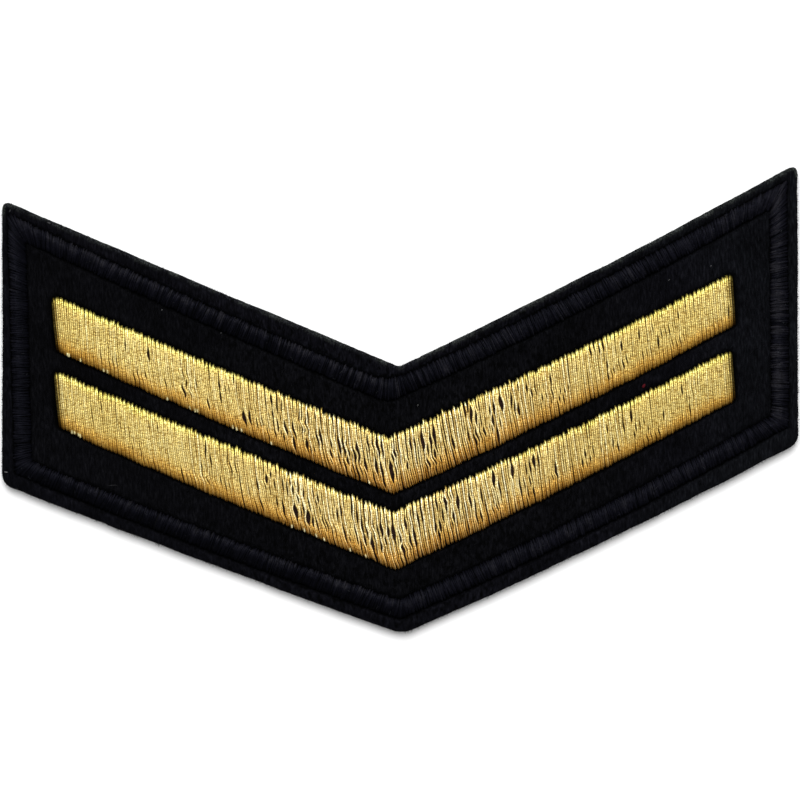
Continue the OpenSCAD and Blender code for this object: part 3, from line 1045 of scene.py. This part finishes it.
# Where its threads lie most unevenly: so far from x = 0, and above this y
COARSE_WITHIN, COARSE_ABOVE = 16, -5


def border_height(across, crest, roundness):
    """Height of the middles of the border's threads, from -1 at their inner ends to 1."""
    low = STITCH_FOOT + 0.08
    from_crest = np.where(across < crest, (crest - across) / (1 + crest), (across - crest) / (1 - crest))
    return low + (BORDER_CREST - 0.06 - low) * np.sqrt(1 - np.minimum(from_crest, 1) ** roundness)


def border_underlay(inner, outer, crest, roundness):
    """The solid below the border's threads."""
    rows = np.array([-0.9, -0.9, -0.7, -0.35, 0, 0.35, 0.7, 0.9, 0.9])
    xy = inner[:, None] + (outer - inner)[:, None] * ((rows + 1) / 2)[:, None]
    z = border_height(rows, crest, roundness) - 0.1
    z[:, [0, -1]] = STITCH_FOOT
    return lofted(raised(xy, z), True)


def border(seed):
    """The border's threads, one by one all the way round, the underlay below them, and fluff on them."""
    rng = np.random.default_rng(seed)
    inner, outer, (crest, roundness, tone, inner_lit_share, outer_lit_share) = BORDER_ENDS
    count = len(inner)
    i = np.arange(count)
    crest = crest + 0.1 * wave(i / 11, seed + 5)
    crest, roundness = crest[:, None], roundness[:, None]
    core = border_underlay(*(values[::4] for values in (inner, outer, crest, roundness)))
    way = unit(outer - inner)
    along = left_of(way)
    # The threads lie in clumps, which lean a little one way or the other
    clump = 0.09 * wave(i / 3.1, seed + 3) + 0.025 * rng.normal(0, 1, count)
    pull = 0.03 * np.where(i % 2, 1, -1) + 0.12 * wave(i / 9, seed + 6)
    inner = inner + along * (clump - pull)[:, None] - way * rng.uniform(-0.08, 0.18, count)[:, None]
    outer = outer + along * (clump + pull)[:, None] + way * rng.uniform(-0.14, 0.12, count)[:, None]
    share = (BORDER_STEPS + 1) / 2
    xy = inner[:, None] + (outer - inner)[:, None] * share[:, None]
    xy = xy + along[:, None] * (0.04 * noise(i[:, None] * 0.9, share * 3, seed + 1))[:, :, None]
    coarse = 1 + 1.1 * np.exp(-(inner[:, 0] / COARSE_WITHIN) ** 2) * (inner[:, 1] > COARSE_ABOVE)
    lift = (rng.normal(0, 0.018, count) + 0.06 * wave(i / 1.9, seed + 4)) * coarse
    paths = raised(xy, border_height(BORDER_STEPS, crest, roundness) + lift[:, None])
    side = np.column_stack([along, np.zeros(count)])[:, None]
    full = np.interp(np.abs(BORDER_STEPS[1:-1]), [0.9, 1], [1, 0.5])
    width = (0.114 + rng.normal(0, 0.01, count))[:, None] * full
    threads = Threads(paths, share, -side, width, 0.055 * full, 6)
    # Painted light and shade: each side's shade, brighter where the light falls and darker down the slopes
    # that face away; the clumps' tones are the threads' own
    shade = tone * (1 + coarse * (0.4 * rng.normal(0, 1, count) + 0.55 * wave(i / 1.8, seed + 2)))
    shade = shade * (1 + 0.2 * wave(i / 17, seed + 7))
    left = np.where(BORDER_STEPS < crest, inner_lit_share[:, None], outer_lit_share[:, None])
    shade = shade[:, None] * (1 + (left - 1) * eased(np.abs(BORDER_STEPS - crest) / 0.75))
    shade = np.clip(shade * (1 + 0.5 * noise(i[:, None] * 1.7, share * 6, seed + 8)), 0, 1)

    dark = underlay_material("border_underlay", (0.0006, 0.0006, 0.001), (0.0025, 0.0025, 0.0034))
    stitches("satin_border_stitches", "satin_border", threads, {"shade": shade}, core,
             [border_material(), dark], 16)

    # Loose fluff that clings to the ridge
    at = rng.integers(0, count, FLUFF_FIBRES)
    turn = rng.uniform(0, 2 * math.pi, FLUFF_FIBRES)
    run = rng.uniform(0.2, 0.7, (FLUFF_FIBRES, 1)) * FIBRE_RUN
    spot = rng.uniform(-0.8, 0.8, FLUFF_FIBRES)
    ridge_w = np.linalg.norm(outer - inner, axis=1)[at]
    across = spot[:, None] + 2 * (heading(turn) * way[at]).sum(1)[:, None] * run / ridge_w[:, None]
    xy = strands((inner + outer)[at] / 2 + way[at] * (spot * ridge_w / 2)[:, None], heading(turn), run)
    z = border_height(np.clip(across, -1, 1), crest[at], roundness[at])
    z = z + rng.uniform(0.05, 0.1, run.shape)
    shade = rng.uniform(0.45, 0.97, FLUFF_FIBRES)
    thick = rng.uniform(0.009, 0.016, (FLUFF_FIBRES, 1))
    fibres("border_fluff", raised(xy, z), thick, shade)


# Lint

# Specks caught in the nap: [x, y, length, thickness, turn in degrees, shade: 0 red, 0.2 dull to 1 pale]
LINT = [
    (27.38, 1.61, 0.55, 0.3, 60, 0), (-26.85, 12.25, 0.22, 0.1, 80, 0.6),
    (-20.27, 9.4, 0.2, 0.08, 10, 0.5), (1.73, 0.41, 0.35, 0.05, 75, 0.8),
    (-8.99, 4.78, 0.2, 0.06, 100, 0.4), (30.67, 13.5, 0.25, 0.07, 40, 0.5),
    (-39.28, 22.57, 0.4, 0.1, -22, 0.7), (-45.19, -5.43, 0.45, 0.09, 170, 1),
    (-43.64, 24.1, 0.4, 0.16, 60, 0.25), (35.48, 14.91, 0.25, 0.08, 20, 0.5),
    (-33.14, -7.42, 1.1, 0.045, -1, 0.3),
]


def lint():
    x, y, length, thick, turn, shade = np.array(LINT).T
    way = heading(np.radians(turn))
    steps = np.array([0, 0.12, 0.35, 0.65, 0.88, 1])
    run = length[:, None] * (steps - 0.5)
    bow = 0.04 * length[:, None] * np.sin(steps * math.pi)
    xy = strands(np.stack([x, y], 1), way, run, bow)
    z = face_height(xy.reshape(-1, 2)).reshape(len(LINT), -1) + 0.4 * thick[:, None]
    across = raised(left_of(way), 0 * x)[:, None]
    half = thick[:, None] / 2 * np.array([0.6, 1.1, 0.9, 0.6])
    specks = Threads(raised(xy, z), steps, across, half, 0.8 * half, 8)
    new_piece("lint_specks", specks.points, specks.faces, [lint_material()],
              maps=specks.laid_out(len(LINT), 2), values={"shade": specks.each_point(shade[:, None])})


# Surroundings

# Brightness of the sky: toward the patch's lower side, and toward its upper one
SKY = (0.38, 0.94)


def sky():
    world = bpy.data.worlds.new("studio")
    world.use_nodes = True
    tree = world.node_tree
    way = add(tree, "SeparateXYZ", {0: add(tree, "TexCoord").outputs["Generated"]}).outputs["Y"]
    levels = {"Value": way, "From Min": -1, "From Max": 1, "To Min": SKY[0], "To Max": SKY[1]}
    strength = add(tree, "MapRange", levels)
    background = tree.nodes["Background"]
    background.inputs["Color"].default_value = (1, 1, 1, 1)
    tree.links.new(strength.outputs[0], background.inputs["Strength"])
    bpy.context.scene.world = world


def floor():
    bpy.ops.mesh.primitive_plane_add(size=3)
    plane = bpy.context.object
    plane.name = "floor"
    made, shader, tree = material("floor", Roughness=0.9, Specular_IOR_Level=0.1)
    paint(tree, shader, greys(tree, grain(tree, 30, 3), (0.3, 0.83), (0.7, 0.85)))
    plane.data.materials.append(made)


def light(name, place, size, power):
    """A square light that faces the patch's middle. place is in metres."""
    data = bpy.data.lights.new(name, "AREA")
    data.size = size
    data.energy = power
    x, y, z = place
    placed(name, data, place, (math.atan2(math.hypot(x, y), z), 0, math.atan2(x, -y)))


def camera():
    data = bpy.data.cameras.new("camera")
    data.sensor_width = 36
    data.lens = data.sensor_width * (VIEW_HEIGHT - FELT_TOP) / FRAME_W
    place = [length * MM for length in (*FRAME_MIDDLE, VIEW_HEIGHT)]
    bpy.context.scene.camera = placed("camera", data, place, (0, 0, -PATCH_TURN))


camera()
sky()
floor()
light("window", (0, 0.42, 0.76), 0.62, 9)
bpy.context.scene.view_settings.view_transform = "Standard"
felt()
nap()
fuzz()
bar("upper_bar", 51)
bar("lower_bar", 61)
border(71)
lint()
